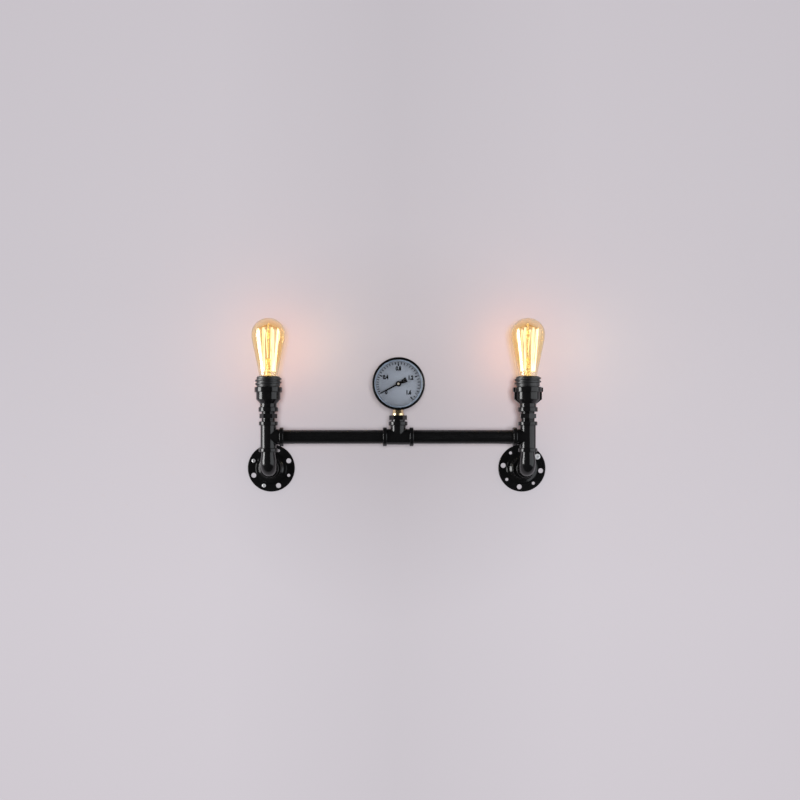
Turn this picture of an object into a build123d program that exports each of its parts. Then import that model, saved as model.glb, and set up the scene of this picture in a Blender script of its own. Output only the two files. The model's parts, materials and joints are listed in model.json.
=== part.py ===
from build123d import *
from math import acos, atan2, cos, degrees, pi, radians, sin, sqrt, tan
import os

# Industrial pipe wall light: two lamps on pipe risers, joined by a crossbar that carries a
# pressure gauge. Millimetres. X runs to the right, Y into the wall and Z up. The wall is the
# plane y = 0, and the origin lies on it, midway between the two wall flanges.

# Layout
riser_spacing = 500.0  # between the axes of the two lamps
riser_standoff = 80.0  # wall to the axes of the risers and the crossbar
crossbar_height = 61.5  # crossbar axis above the axis of the wall flanges

# Pipe and its joints
pipe_outside = 26.7
pipe_wall = 2.9
thread_depth = 12.0  # how far a pipe goes into a fitting
pipe_gap = 0.05  # round a pipe in its fitting
thread_neck = 25.6  # bare thread between a hexagon and a fitting

# Tees and elbows
fitting_body = 30.4
branch_step = 0.8  # a branch is this much slimmer than the run
fitting_reach = 29.5  # centre of a tee to each of its ends
tee_blend = 2.0
bead_outside = 36.5
bead_width = 7.7
bead_round = 1.6
elbow_bend = 16.0  # radius of the elbow's centre line
elbow_reach = 30.0  # elbow axis to the face of its socket
elbow_taper = 12.0  # length over which the male leg narrows

# Wall flanges
flange_outside = 94.0
flange_plate = 5.0
flange_edge_round = 1.2
boss_outside = 59.0
boss_foot = 63.0
boss_height = 8.0
boss_crown = 1.0  # rise of the boss towards the hub
hub_outside = 42.0
hub_height = 22.0
hub_foot = 50.0
hub_blend = 3.0  # height of the slope at the hub's foot
hub_draft = 0.6  # how much wider the hub is above that slope than at its face
bolt_circle = 75.5
bolt_hole = 10.0
screw_hole = 6.3
bolt_count = 4
first_bolt_angle = {"left": 22.5, "right": -8.0}

# Wall screws: which small holes hold one, and the diameter of its head
screw_angles = {"left": (157.5, 247.5), "right": (37.0,)}
screw_head = {"left": 7.8, "right": 12.0}
screw_head_height = 2.6
screw_shank = 4.6
screw_socket = {"left": 2.8, "right": 4.6}  # across the corners of its hexagon
screw_socket_depth = 1.6

# Hexagon nipples between the tees and the bell reducers
hexagon_flats = 29.5
hexagon_height = 8.6
hexagon_chamfer = 1.0
nipple_lower_neck = 6.2
nipple_upper_neck = 3.9
hexagon_turn = {"left": 0.0, "right": 30.0}

# Bell reducers
reducer_bead = 38.0
reducer_bead_width = 8.9
reducer_neck = 32.0
reducer_neck_height = 6.9
reducer_cone_height = 8.1
reducer_body = 47.0
reducer_body_height = 13.4
reducer_rim = 53.4
reducer_rim_height = 10.3
reducer_mouth = 42.0
reducer_mouth_step = 1.0  # floor of the mouth above the top of the cone
reducer_round = 1.4
rib_width = 9.0
rib_body_proud = 2.9
rib_rim_proud = 1.9
rib_turn = {"left": 90.0, "right": 0.0}

# Lampholders
holder_gap = 0.3  # round the lampholder in the reducer, and round the ceramic inside it
holder_collar = 43.4
holder_collar_height = 2.2
holder_barrel = 45.5
holder_barrel_height = 18.0
holder_bore = 35.4
holder_floor = 2.0
holder_floor_hole = 26.0
holder_chamfer = 1.3
ridge_outside = 50.6
ridge_pitch = 6.5
ridge_root_width = 4.2
ridge_crest_width = 2.4
ridge_turns = 2.0
ridge_first_height = 3.0  # barrel foot to the middle of the ridge's lower end
ridge_sink = 0.3  # how far a ridge goes into its barrel
ridge_turn = {"left": 150.0, "right": 60.0}
insert_floor = 6.5
insert_wall_height = 6.0
insert_hole = 5.0
shell_bore = 27.0
shell_wall = 0.5
shell_height = 28.8
seat_gap = 0.1  # between a piece and the recess or bore that it is pressed into
contact_width = 6.0
contact_length = 20.0
contact_thickness = 0.6
contact_lift = 1.0
terminal_size = 5.0
terminal_height = 6.0
terminal_spacing = 14.0
terminal_hole = 2.5
terminal_hole_depth = 3.0

# Lamp leads
lead_outside = 5.0
lead_bend = 25.0
lead_end_gap = 14.0  # end of the sleeve to the terminals
core_radius = 0.9
core_straight = 3.0  # upright stretch of a core below its terminal
core_end_gap = 0.3  # end of a core to the bottom of its hole

# Bulbs: E27 cap, pear shape 64 mm wide
cap_root = 24.2
cap_crest = 26.2
cap_pitch = 3.63
cap_turns = 4.0
cap_ridge_width = 2.6
cap_crest_width = 0.9
cap_wall = 0.4
cap_shell_height = 19.0
cap_flare = 0.5
cap_cone_height = 6.0
cap_tip = 15.0
cap_plug_height = 1.5  # how far the insulator reaches into the shell
contact_outside = 9.6
contact_height = 2.0
glass_wall = 0.8
glass_overlap = 5.0  # neck inside the cap
glass_neck_radius = 16.9  # heights are above the rim of the cap
glass_neck_height = 6.5
glass_flank_radius = 30.6
glass_flank_height = 71.0
glass_widest_radius = 32.5
glass_shoulder_round = 24.5
glass_neck_pull = 2.5  # how far the curves follow the straight lines that they join
glass_flank_pull = 8.0

# Inside of a bulb
flare_thickness = 1.6
stem_foot_radius = 4.6
stem_radius = 3.0
stem_height = 26.0
rod_radius = 1.5
cage_top_height = 105.0  # above the cap rim
cage_crown_gap = 13.5  # cage to the top of the glass
cage_widest_drop = 16.0  # cage top down to the widest ring of the glass
cage_bottom_height = 22.0
cage_top_radius = 20.5
cage_bottom_radius = 12.5
cage_hooks = 8
wire_radius = 0.4
knot_radius = 0.8
collar_radius = 2.6
collar_height = 3.0

# Gauge bushing in the centre tee
bushing_neck = 3.2
bushing_hexagon_height = 8.5
bushing_floor = 3.0
bushing_hole = 8.0

# Gauge stem
stem_thread = 13.0
stem_thread_length = 16.0
stem_collar = 23.0
stem_collar_height = 4.0
stem_flats = 17.5
stem_hexagon_height = 6.7
stem_neck = 14.0
stem_case_gap = 1.0  # hexagon to the underside of the case
stem_bore = 3.0
stem_pocket_angle = 12.0  # how far round the tube's pocket is cut

# Gauge case and window. Depths are from the back of the case towards the viewer.
case_outside = 97.0
case_wall = 1.2
case_depth = 32.0
stem_depth = 16.0  # back of the case to the axis of the stem
case_edge_round = 3.2
case_hole_gap = 0.2
gasket_thickness = 1.0
gasket_width = 4.4
glass_thickness = 3.0
glass_edge_gap = 0.3
bezel_outside = 100.8
bezel_gap = 0.1
bezel_skirt = 7.0
bezel_lip = 4.0
bezel_window = 92.0
bezel_bevel = 0.8
bezel_round = 1.5

# Gauge movement
block_width = 16.0
plate_thickness = 1.2
back_plate_depth = 6.0
plate_spacing = 12.3
plate_half_width = 15.0
plate_top = 13.0
plate_shoulder = -28.0
plate_corner_radius = 2.5
pillar_radius = 1.8
pillar_places = ((-12.0, 9.0), (12.0, 9.0), (-12.0, -24.5))
post_radius = 1.2
post_places = ((-10.0, 0.0), (10.0, 0.0))
dial_depth = 25.5
dial_thickness = 0.8
dial_edge_gap = 0.6
dial_hole = 7.0
tooth_module = 0.4
pinion_teeth = 12
sector_full_teeth = 120
pressure_angle = 25.0
tooth_backlash = 0.10
tooth_addendum = 0.36
tooth_dedendum = 0.48
flank_steps = 4
mesh_gap = 0.04
sector_right_count = 12  # teeth to each side of the one straight above the sector's pivot
sector_left_count = 3
sector_rim = 3.6
sector_depth = 11.0
sector_thickness = 2.0
sector_hub_radius = 3.0
sector_arm_width = 4.0
tail_length = 10.0
eye_radius = 2.0
pin_radius = 0.7
pin_gap = 0.05
pinion_depth = 10.5
pinion_width = 3.0
arbor_radius = 1.2
journal_radius = 0.8
arbor_shoulder_gap = 0.2
link_thickness = 1.0
link_gap = 0.3
link_width = 2.4
tube_radius = 37.0
tube_width = 11.0
tube_height = 4.0
tube_wall = 0.5
tube_depth = 8.0
tube_tip_angle = -4.0
tube_root_angle = 262.0
plug_angle = 4.0
lug_angle = 22.0
lug_eye_angle = 18.0
lug_thickness = 1.2
hairspring_depth = 16.0
hairspring_width = 0.8
hairspring_strip = 0.3
hairspring_pitch = 1.4
hairspring_half_turns = 7
hairspring_bore = 1.5
hairspring_stud_radius = 0.6

# Pointer
pointer_length = 37.0
pointer_angle = 208.0  # counter-clockwise from the right, seen from the front
pointer_blade_width = 3.4
pointer_tip_width = 2.4
pointer_point = 2.4  # length of the point at its tip
pointer_tail_length = 17.6
pointer_tail_width = 10.4
pointer_hub_radius = 5.0
pointer_depth = 29.0
pointer_thickness = 0.6
bush_radius = 3.0
bush_depth = 27.5
bush_height = 3.6

# Worked out from the above
pipe_bore = pipe_outside - 2 * pipe_wall
socket_radius = pipe_outside / 2 + pipe_gap
branch_body = fitting_body - branch_step
riser_y = -riser_standoff
riser_x = {"left": -riser_spacing / 2, "right": riser_spacing / 2}
inward = {"left": Vector(1, 0, 0), "right": Vector(-1, 0, 0)}
up = Vector(0, 0, 1)
right = Vector(1, 0, 0)
up_angle = 90.0  # angles are seen from the front, from the right
tee_top = crossbar_height + fitting_reach

nipple_hexagon_foot = tee_top + nipple_lower_neck
reducer_foot = nipple_hexagon_foot + hexagon_height + nipple_upper_neck
reducer_neck_foot = reducer_foot + reducer_bead_width
reducer_cone_foot = reducer_neck_foot + reducer_neck_height
reducer_body_foot = reducer_cone_foot + reducer_cone_height
reducer_rim_foot = reducer_body_foot + reducer_body_height
reducer_top = reducer_rim_foot + reducer_rim_height
mouth_floor = reducer_body_foot + reducer_mouth_step

holder_spigot = reducer_mouth - 2 * holder_gap
holder_foot = mouth_floor + holder_gap
barrel_foot = reducer_top + holder_collar_height
barrel_top = barrel_foot + holder_barrel_height
insert_foot = holder_foot + holder_floor
insert_radius = holder_bore / 2 - holder_gap
insert_seat = insert_foot + insert_floor
shell_outside = shell_bore + 2 * shell_wall
contact_top = insert_seat + contact_thickness + contact_lift

cap_foot = contact_top + seat_gap
cap_rim = cap_foot + contact_height + cap_cone_height + cap_shell_height
glass_length = cage_top_height + cage_crown_gap
glass_widest_height = cage_top_height - cage_widest_drop

bushing_hexagon_foot = tee_top + bushing_neck
stem_collar_foot = bushing_hexagon_foot + bushing_hexagon_height
stem_hexagon_foot = stem_collar_foot + stem_collar_height
case_bottom = stem_hexagon_foot + stem_hexagon_height + stem_case_gap
gauge_z = case_bottom + case_outside / 2
case_back_y = riser_y + stem_depth
case_bore = case_outside - 2 * case_wall
front_plate_depth = back_plate_depth + plate_thickness + plate_spacing
gasket_depth = case_depth
window_depth = gasket_depth + gasket_thickness
lip_depth = window_depth + glass_thickness
window_outside = case_outside - 2 * glass_edge_gap
sector_radius = tooth_module * sector_full_teeth / 2
pinion_radius = tooth_module * pinion_teeth / 2
sector_pivot = -(sector_radius + pinion_radius + mesh_gap)
link_depth = sector_depth + sector_thickness + link_gap
lug_depth = link_depth + link_thickness + link_gap
block_top = sector_pivot - sector_hub_radius - link_gap
tube_root = (
    tube_radius * cos(radians(tube_root_angle)), tube_radius * sin(radians(tube_root_angle))
)
tab_foot = tube_root[1] + tube_height / 2  # the tab starts at the inner side of the tube
gauge_axis = Axis((0, 0, gauge_z), (0, -1, 0))


def level(x, z):
    """The level plane at height z, centred on the riser at x."""
    return Plane((x, riser_y, z))


def upright(x):
    """The upright plane through a riser's axis: local x runs right and local y is the height."""
    return Plane((x, riser_y, 0), x_dir=(1, 0, 0), z_dir=(0, -1, 0))


def riser_axis(x):
    return Axis((x, riser_y, 0), (0, 0, 1))


def facing(depth, x=0.0, z=gauge_z):
    """A plane that faces the viewer, so many millimetres in front of the gauge's back."""
    return Plane((x, case_back_y - depth, z), x_dir=(1, 0, 0), z_dir=(0, -1, 0))


def on_wall(x):
    """The wall plane at a flange: local x runs right, local y runs up, and it faces the viewer."""
    return Plane((x, 0, 0), x_dir=(1, 0, 0), z_dir=(0, -1, 0))


def around(radius, angle):
    """A point on a circle, the angle in degrees."""
    return radius * cos(radians(angle)), radius * sin(radians(angle))


def rims(builder, radius):
    """The circular edges of a builder that have this radius."""
    circles = builder.edges().filter_by(GeomType.CIRCLE)
    return circles.filter_by(lambda edge: abs(edge.radius - radius) < 0.001)


def save(builder, name):
    builder.part.label = name
    export_step(builder.part, f"parts/{name}.step")


def rod(start, end, radius):
    """Adds a round rod between two points to the part that is being built."""
    run = Vector(*end) - Vector(*start)
    with BuildSketch(Plane(start, z_dir=run)) as section:
        Circle(radius)
    extrude(section.sketch, amount=run.length)


def turned(x, points):
    """Revolves an outline of (radius, height) points about a riser's axis."""
    with BuildSketch(upright(x)) as outline:
        with BuildLine():
            Polyline(*points, close=True)
        make_face()
    revolve(outline.sketch, axis=riser_axis(x))


def ridge(x, foot, root, crest, root_width, crest_width, pitch, turns, turn):
    """A helical ridge round a riser's axis, sunk a little into the barrel that carries it."""
    inside = root - ridge_sink
    top = crest - inside
    start = around(inside, turn)
    centre = Vector(x, riser_y, foot)
    outward = Vector(*around(1, turn), 0)
    half_root = root_width / 2
    half_crest = crest_width / 2
    helix = Helix(pitch, pitch * turns, inside, center=centre, mode=Mode.PRIVATE)
    path = helix.rotate(Axis(centre, (0, 0, 1)), turn)
    start_plane = Plane(centre + Vector(*start, 0), x_dir=outward, z_dir=outward.cross(up))
    with BuildSketch(start_plane) as section:
        with BuildLine():
            Polyline(
                (0, -half_root), (ridge_sink, -half_root), (top, -half_crest), (top, half_crest),
                (ridge_sink, half_root), (0, half_root), close=True,
            )
        make_face()
    sweep(section.sketch, path=path, is_frenet=True)


def tee(centre, run, branch):
    """A tee with beads and sockets at its three ends."""
    ends = (run, -run, branch)
    with BuildPart() as body:
        with BuildSketch(Plane(centre, z_dir=run)):
            Circle(fitting_body / 2)
        extrude(amount=fitting_reach, both=True)
        with BuildSketch(Plane(centre, z_dir=branch)):
            Circle(branch_body / 2)
        extrude(amount=fitting_reach)
        fillet(body.edges().filter_by(GeomType.BSPLINE), tee_blend)
        for end in ends:
            with BuildSketch(Plane(centre + end * (fitting_reach - bead_width), z_dir=end)):
                Circle(bead_outside / 2)
            extrude(amount=bead_width)
        fillet(rims(body, bead_outside / 2), bead_round)
        for end in ends:
            with BuildSketch(Plane(centre, z_dir=end)):
                Circle(pipe_bore / 2)
            extrude(amount=fitting_reach, mode=Mode.SUBTRACT)
            with BuildSketch(Plane(centre + end * (fitting_reach - thread_depth), z_dir=end)):
                Circle(socket_radius)
            extrude(amount=thread_depth, mode=Mode.SUBTRACT)
    return body


def wall_flange(side):
    x = riser_x[side]
    boss = boss_outside / 2
    hub = hub_outside / 2
    crown = boss_height + boss_crown
    half_pitch = 180 / bolt_count
    with BuildPart() as flange:
        with BuildSketch(Plane((x, 0, 0), x_dir=(1, 0, 0), z_dir=(0, 0, -1))):
            with BuildLine():
                Polyline(
                    (0, 0), (flange_outside / 2, 0), (flange_outside / 2, flange_plate),
                    (boss_foot / 2, flange_plate), (boss, boss_height),
                    (hub_foot / 2, crown), (hub + hub_draft, crown + hub_blend),
                    (hub, hub_height), (0, hub_height), close=True,
                )
            make_face()
        revolve(axis=Axis((x, 0, 0), (0, 1, 0)))
        fillet(rims(flange, flange_outside / 2).sort_by(Axis.Y)[0], flange_edge_round)
        fillet(rims(flange, hub).sort_by(Axis.Y)[0], flange_edge_round)
        with BuildSketch(on_wall(x)):
            with PolarLocations(bolt_circle / 2, bolt_count, first_bolt_angle[side]):
                Circle(bolt_hole / 2)
            with PolarLocations(bolt_circle / 2, bolt_count, first_bolt_angle[side] + half_pitch):
                Circle(screw_hole / 2)
            Circle(pipe_bore / 2)
        extrude(amount=hub_height, mode=Mode.SUBTRACT)
        with BuildSketch(Plane((x, -(hub_height - thread_depth), 0), z_dir=(0, -1, 0))):
            Circle(socket_radius)
        extrude(amount=thread_depth, mode=Mode.SUBTRACT)
    return flange


def wall_screws():
    """The button-head screws that hold the flanges, cut off at the wall plane."""
    with BuildPart() as screws:
        for side, angles in screw_angles.items():
            head = screw_head[side] / 2
            for angle in angles:
                across, height = around(bolt_circle / 2, angle)
                seat = Plane((riser_x[side] + across, 0, height), z_dir=(0, -1, 0))
                with BuildSketch(seat):
                    Circle(screw_shank / 2)
                extrude(amount=flange_plate)
                with BuildSketch(seat.offset(flange_plate)):
                    Circle(head)
                extrude(amount=screw_head_height)
                fillet(rims(screws, head).sort_by(Axis.Y)[0], screw_head_height / 2)
                with BuildSketch(seat.offset(flange_plate + screw_head_height)):
                    RegularPolygon(screw_socket[side] / 2, 6)
                extrude(amount=-screw_socket_depth, mode=Mode.SUBTRACT)
    return screws


def wall_nipple(side):
    foot = hub_height - thread_depth
    length = riser_standoff - elbow_reach + thread_depth - foot
    with BuildPart() as nipple:
        with BuildSketch(Plane((riser_x[side], -foot, 0), z_dir=(0, -1, 0))):
            Circle(pipe_outside / 2)
            Circle(pipe_bore / 2, mode=Mode.SUBTRACT)
        extrude(amount=length)
    return nipple


def street_elbow(side):
    """Its male leg goes up into the tee, and its socket faces the wall."""
    x = riser_x[side]
    socket_y = riser_y + elbow_reach
    leg_top = crossbar_height - fitting_reach + thread_depth
    bend_axis = Axis((x, riser_y + elbow_bend, elbow_bend), (1, 0, 0))
    bend_end = Plane((x, riser_y + elbow_bend, 0), z_dir=(0, 1, 0))
    body = fitting_body / 2
    with BuildPart() as elbow:
        with BuildSketch(level(x, elbow_bend)):
            Circle(body)
        revolve(axis=bend_axis, revolution_arc=90)
        turned(
            x,
            (
                (0, elbow_bend), (body, elbow_bend), (pipe_outside / 2, elbow_bend + elbow_taper),
                (pipe_outside / 2, leg_top), (0, leg_top),
            ),
        )
        with BuildSketch(bend_end):
            Circle(body)
        extrude(amount=elbow_reach - elbow_bend)
        with BuildSketch(Plane((x, socket_y, 0), z_dir=(0, -1, 0))):
            Circle(bead_outside / 2)
        extrude(amount=bead_width)
        fillet(rims(elbow, bead_outside / 2), bead_round)
        with BuildSketch(level(x, elbow_bend)):
            Circle(pipe_bore / 2)
        revolve(axis=bend_axis, revolution_arc=90, mode=Mode.SUBTRACT)
        with BuildSketch(level(x, elbow_bend)):
            Circle(pipe_bore / 2)
        extrude(amount=leg_top - elbow_bend, mode=Mode.SUBTRACT)
        with BuildSketch(bend_end):
            Circle(pipe_bore / 2)
        extrude(amount=elbow_reach - elbow_bend, mode=Mode.SUBTRACT)
        with BuildSketch(Plane((x, socket_y, 0), z_dir=(0, -1, 0))):
            Circle(socket_radius)
        extrude(amount=thread_depth, mode=Mode.SUBTRACT)
    return elbow


def crossbar(side):
    start = riser_x[side] + inward[side].X * (fitting_reach - thread_depth)
    length = riser_spacing / 2 - 2 * (fitting_reach - thread_depth)
    with BuildPart() as bar:
        with BuildSketch(Plane((start, riser_y, crossbar_height), z_dir=inward[side])):
            Circle(pipe_outside / 2)
            Circle(pipe_bore / 2, mode=Mode.SUBTRACT)
        extrude(amount=length)
    return bar


def hexagon(x, foot, flats, height, turn):
    """Adds a hexagon with its corners chamfered, at a riser's axis."""
    corners = flats / sqrt(3)
    inside = corners - hexagon_chamfer
    outside = corners + hexagon_chamfer
    top = foot + height
    with BuildSketch(level(x, foot)) as outline:
        RegularPolygon(corners, 6, rotation=turn)
    extrude(outline.sketch, amount=height)
    with BuildSketch(upright(x)) as chamfers:
        with BuildLine():
            Polyline(
                (inside, foot), (outside, foot), (outside, top), (inside, top),
                (corners, top - hexagon_chamfer / 2), (corners, foot + hexagon_chamfer / 2), close=True,
            )
        make_face()
    revolve(chamfers.sketch, axis=riser_axis(x), mode=Mode.SUBTRACT)


def hex_nipple(side):
    x = riser_x[side]
    foot = tee_top - thread_depth
    top = reducer_foot + thread_depth
    with BuildPart() as nipple:
        turned(
            x,
            (
                (0, foot), (pipe_outside / 2, foot), (pipe_outside / 2, tee_top),
                (thread_neck / 2, tee_top), (thread_neck / 2, reducer_foot),
                (pipe_outside / 2, reducer_foot), (pipe_outside / 2, top), (0, top),
            ),
        )
        hexagon(x, nipple_hexagon_foot, hexagon_flats, hexagon_height, hexagon_turn[side])
        with BuildSketch(level(x, foot)):
            Circle(pipe_bore / 2)
        extrude(amount=top - foot, mode=Mode.SUBTRACT)
    return nipple


def bell_reducer(side):
    """Narrow socket below, wide mouth above, with two ribs down its sides."""
    x = riser_x[side]
    body = reducer_body / 2
    rim = reducer_rim / 2
    rib_body = body + rib_body_proud
    rib_rim = rim + rib_rim_proud
    rib_top = reducer_top - reducer_round / 2
    socket_top = reducer_foot + thread_depth
    ridge_out = Vector(*around(1, rib_turn[side]), 0)
    rib_plane = Plane((x, riser_y, 0), x_dir=ridge_out, z_dir=ridge_out.cross(up))
    with BuildPart() as reducer:
        turned(
            x,
            (
                (0, reducer_foot), (reducer_bead / 2, reducer_foot),
                (reducer_bead / 2, reducer_neck_foot), (reducer_neck / 2, reducer_neck_foot),
                (reducer_neck / 2, reducer_cone_foot), (body, reducer_body_foot),
                (body, reducer_rim_foot), (rim, reducer_rim_foot), (rim, reducer_top),
                (0, reducer_top),
            ),
        )
        fillet(rims(reducer, reducer_bead / 2), reducer_round)
        fillet(rims(reducer, rim), reducer_round)
        with BuildSketch(rib_plane):
            for sign in (1, -1):
                with BuildLine():
                    Polyline(
                        (0, reducer_cone_foot), (sign * reducer_neck / 2, reducer_cone_foot),
                        (sign * rib_body, reducer_body_foot), (sign * rib_body, reducer_rim_foot),
                        (sign * rib_rim, reducer_rim_foot + reducer_round),
                        (sign * rib_rim, reducer_top - reducer_round), (sign * rim, rib_top),
                        (0, rib_top), close=True,
                    )
                make_face()
        extrude(amount=rib_width / 2, both=True)
        with BuildSketch(upright(x)):
            with BuildLine():
                Polyline(
                    (0, reducer_foot), (socket_radius, reducer_foot), (socket_radius, socket_top),
                    (pipe_bore / 2, socket_top), (pipe_bore / 2, reducer_cone_foot),
                    (reducer_mouth / 2, mouth_floor), (reducer_mouth / 2, reducer_top),
                    (0, reducer_top), close=True,
                )
            make_face()
        revolve(axis=riser_axis(x), mode=Mode.SUBTRACT)
    return reducer


def lampholder_shell(side):
    """Barrel with a coarse outside ridge, standing in the mouth of the reducer."""
    x = riser_x[side]
    barrel = holder_barrel / 2
    with BuildPart() as shell:
        turned(
            x,
            (
                (holder_floor_hole / 2, holder_foot), (holder_spigot / 2, holder_foot),
                (holder_spigot / 2, reducer_top), (holder_collar / 2, reducer_top),
                (holder_collar / 2, barrel_foot), (barrel, barrel_foot),
                (barrel, barrel_top - holder_chamfer), (barrel - holder_chamfer, barrel_top),
                (holder_bore / 2, barrel_top), (holder_bore / 2, insert_foot),
                (holder_floor_hole / 2, insert_foot),
            ),
        )
        ridge(
            x, barrel_foot + ridge_first_height, barrel, ridge_outside / 2, ridge_root_width,
            ridge_crest_width, ridge_pitch, ridge_turns, ridge_turn[side],
        )
    return shell


def lampholder_insert(side):
    """Ceramic cup that carries the screw shell and the contact."""
    x = riser_x[side]
    recess = shell_outside / 2 + seat_gap
    wall_top = insert_seat + insert_wall_height
    with BuildPart() as insert:
        turned(
            x,
            (
                (insert_hole / 2, insert_foot), (insert_radius, insert_foot),
                (insert_radius, wall_top), (recess, wall_top), (recess, insert_seat),
                (insert_hole / 2, insert_seat),
            ),
        )
    return insert


def screw_shell(side):
    with BuildPart() as shell:
        with BuildSketch(level(riser_x[side], insert_seat)):
            Circle(shell_outside / 2)
            Circle(shell_bore / 2, mode=Mode.SUBTRACT)
        extrude(amount=shell_height)
    return shell


def centre_contact(side):
    """Sprung brass strip on the floor of the ceramic, raised in the middle."""
    x = riser_x[side]
    half = contact_length / 2
    with BuildPart() as contact:
        with BuildSketch(upright(x)):
            with BuildLine():
                Polyline(
                    (-half, insert_seat), (-half / 2, insert_seat),
                    (-half / 3, insert_seat + contact_lift), (half / 3, insert_seat + contact_lift),
                    (half / 2, insert_seat), (half, insert_seat),
                    (half, insert_seat + contact_thickness),
                    (half / 2, insert_seat + contact_thickness), (half / 3, contact_top),
                    (-half / 3, contact_top), (-half / 2, insert_seat + contact_thickness),
                    (-half, insert_seat + contact_thickness), close=True,
                )
            make_face()
        extrude(amount=contact_width / 2, both=True)
    return contact


def terminals(side):
    """Two brass screw terminals under the ceramic."""
    x = riser_x[side]
    with BuildPart() as pair:
        for offset in (-terminal_spacing / 2, terminal_spacing / 2):
            with BuildSketch(level(x + offset, insert_foot)):
                Rectangle(terminal_size, terminal_size)
            extrude(amount=-terminal_height)
            with BuildSketch(level(x + offset, insert_foot - terminal_height)):
                Circle(terminal_hole / 2)
            extrude(amount=terminal_hole_depth, mode=Mode.SUBTRACT)
    return pair


def lamp_leads():
    """One lead a side, from the wall through nipple, elbow and tee, with a core to each terminal."""
    terminal_foot = insert_foot - terminal_height
    lead_top = terminal_foot - lead_end_gap
    with BuildPart() as leads:
        for x in riser_x.values():
            corner_y = riser_y + lead_bend
            with BuildSketch(Plane((x, 0, 0), z_dir=(0, -1, 0))):
                Circle(lead_outside / 2)
            extrude(amount=-corner_y)
            with BuildSketch(level(x, lead_bend)):
                Circle(lead_outside / 2)
            extrude(amount=lead_top - lead_bend)
            with BuildSketch(level(x, lead_bend)):
                Circle(lead_outside / 2)
            revolve(axis=Axis((x, corner_y, lead_bend), (1, 0, 0)), revolution_arc=90)
            fork = (x, riser_y, lead_top - core_radius)
            for offset in (-terminal_spacing / 2, terminal_spacing / 2):
                knee = (x + offset, riser_y, terminal_foot - core_straight)
                end = (x + offset, riser_y, terminal_foot + terminal_hole_depth - core_end_gap)
                rod(fork, knee, core_radius)
                rod(knee, end, core_radius)
                with Locations(knee):
                    Sphere(core_radius)
    return leads


def glass_half(x, inset):
    """Half a bulb's outline: a straight flank between curved neck and shoulder, under a dome."""
    neck = cap_root / 2 - cap_wall - seat_gap - inset
    rise = Vector(0, 1)
    slope = Vector(
        glass_flank_radius - glass_neck_radius, glass_flank_height - glass_neck_height
    ).normalized()
    to_axis = Vector(-slope.Y, slope.X) * inset
    low = Vector(glass_neck_radius, cap_rim + glass_neck_height) + to_axis
    high = Vector(glass_flank_radius, cap_rim + glass_flank_height) + to_axis
    widest = Vector(glass_widest_radius - inset, cap_rim + glass_widest_height)
    shoulder = glass_shoulder_round - inset
    offside = widest.X - shoulder
    flatter = glass_length - glass_widest_height - glass_shoulder_round
    below = (offside**2 - flatter**2) / (2 * flatter)
    turn = degrees(atan2(below, offside))
    with BuildSketch(upright(x)) as half:
        with BuildLine():
            foot = Line((0, cap_rim - glass_overlap), (neck, cap_rim - glass_overlap))
            tube = Line(foot @ 1, (neck, cap_rim))
            Bezier(tube @ 1, tube @ 1 + rise * glass_neck_pull, low - slope * glass_neck_pull, low)
            Line(low, high)
            Bezier(high, high + slope * glass_flank_pull, widest - rise * glass_flank_pull, widest)
            CenterArc((offside, widest.Y), shoulder, 0, turn)
            crown = shoulder + flatter + below
            dome = CenterArc((0, widest.Y - below), crown, turn, 90 - turn)
            Line(dome @ 1, foot @ 0)
        make_face()
    return half.sketch


def bulb_glass(side):
    """Thin pear-shaped envelope, open at the neck where the stem closes it."""
    x = riser_x[side]
    with BuildPart() as glass:
        revolve(glass_half(x, 0), axis=riser_axis(x))
        revolve(glass_half(x, glass_wall), axis=riser_axis(x), mode=Mode.SUBTRACT)
    return glass


def bulb_cap(side):
    """Brass shell with the thread rolled into it."""
    x = riser_x[side]
    root = cap_root / 2
    foot = cap_foot + contact_height + cap_cone_height
    with BuildPart() as cap:
        turned(
            x,
            (
                (root - cap_wall, foot), (root, foot), (root, cap_rim - cap_flare),
                (root + cap_flare, cap_rim), (root - cap_wall, cap_rim),
            ),
        )
        ridge(
            x, foot + cap_ridge_width, root, cap_crest / 2, cap_ridge_width, cap_crest_width,
            cap_pitch, cap_turns, 0,
        )
        with BuildSketch(level(x, foot)):
            Circle(root - cap_wall)
        extrude(amount=cap_shell_height, mode=Mode.SUBTRACT)
    return cap


def bulb_cap_insulator(side):
    """Black glass between the thread and the contact."""
    x = riser_x[side]
    foot = cap_foot + contact_height
    top = foot + cap_cone_height
    plug = cap_root / 2 - cap_wall - seat_gap
    with BuildPart() as insulator:
        turned(
            x,
            (
                (0, foot), (cap_tip / 2, foot), (cap_root / 2, top), (plug, top),
                (plug, top + cap_plug_height), (0, top + cap_plug_height),
            ),
        )
    return insulator


def bulb_contact(side):
    with BuildPart() as contact:
        with BuildSketch(level(riser_x[side], cap_foot)):
            Circle(contact_outside / 2)
        extrude(amount=contact_height)
        fillet(contact.edges().group_by(Axis.Z)[0], contact_height / 2)
    return contact


def bulb_stem(side):
    """Glass flare across the neck, with the stem and rod that carry the cage."""
    x = riser_x[side]
    flare = cap_root / 2 - cap_wall - 2 * seat_gap - glass_wall
    foot = cap_rim - glass_overlap
    top = cap_rim + stem_height
    rod_top = cap_rim + cage_top_height + collar_height
    with BuildPart() as stem:
        turned(
            x,
            (
                (0, foot), (flare, foot), (flare, foot + flare_thickness),
                (stem_foot_radius, foot + 2 * flare_thickness), (stem_radius, cap_rim + stem_height / 2),
                (stem_radius, top), (rod_radius, top + stem_radius), (rod_radius, rod_top),
                (0, rod_top),
            ),
        )
    return stem


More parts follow.
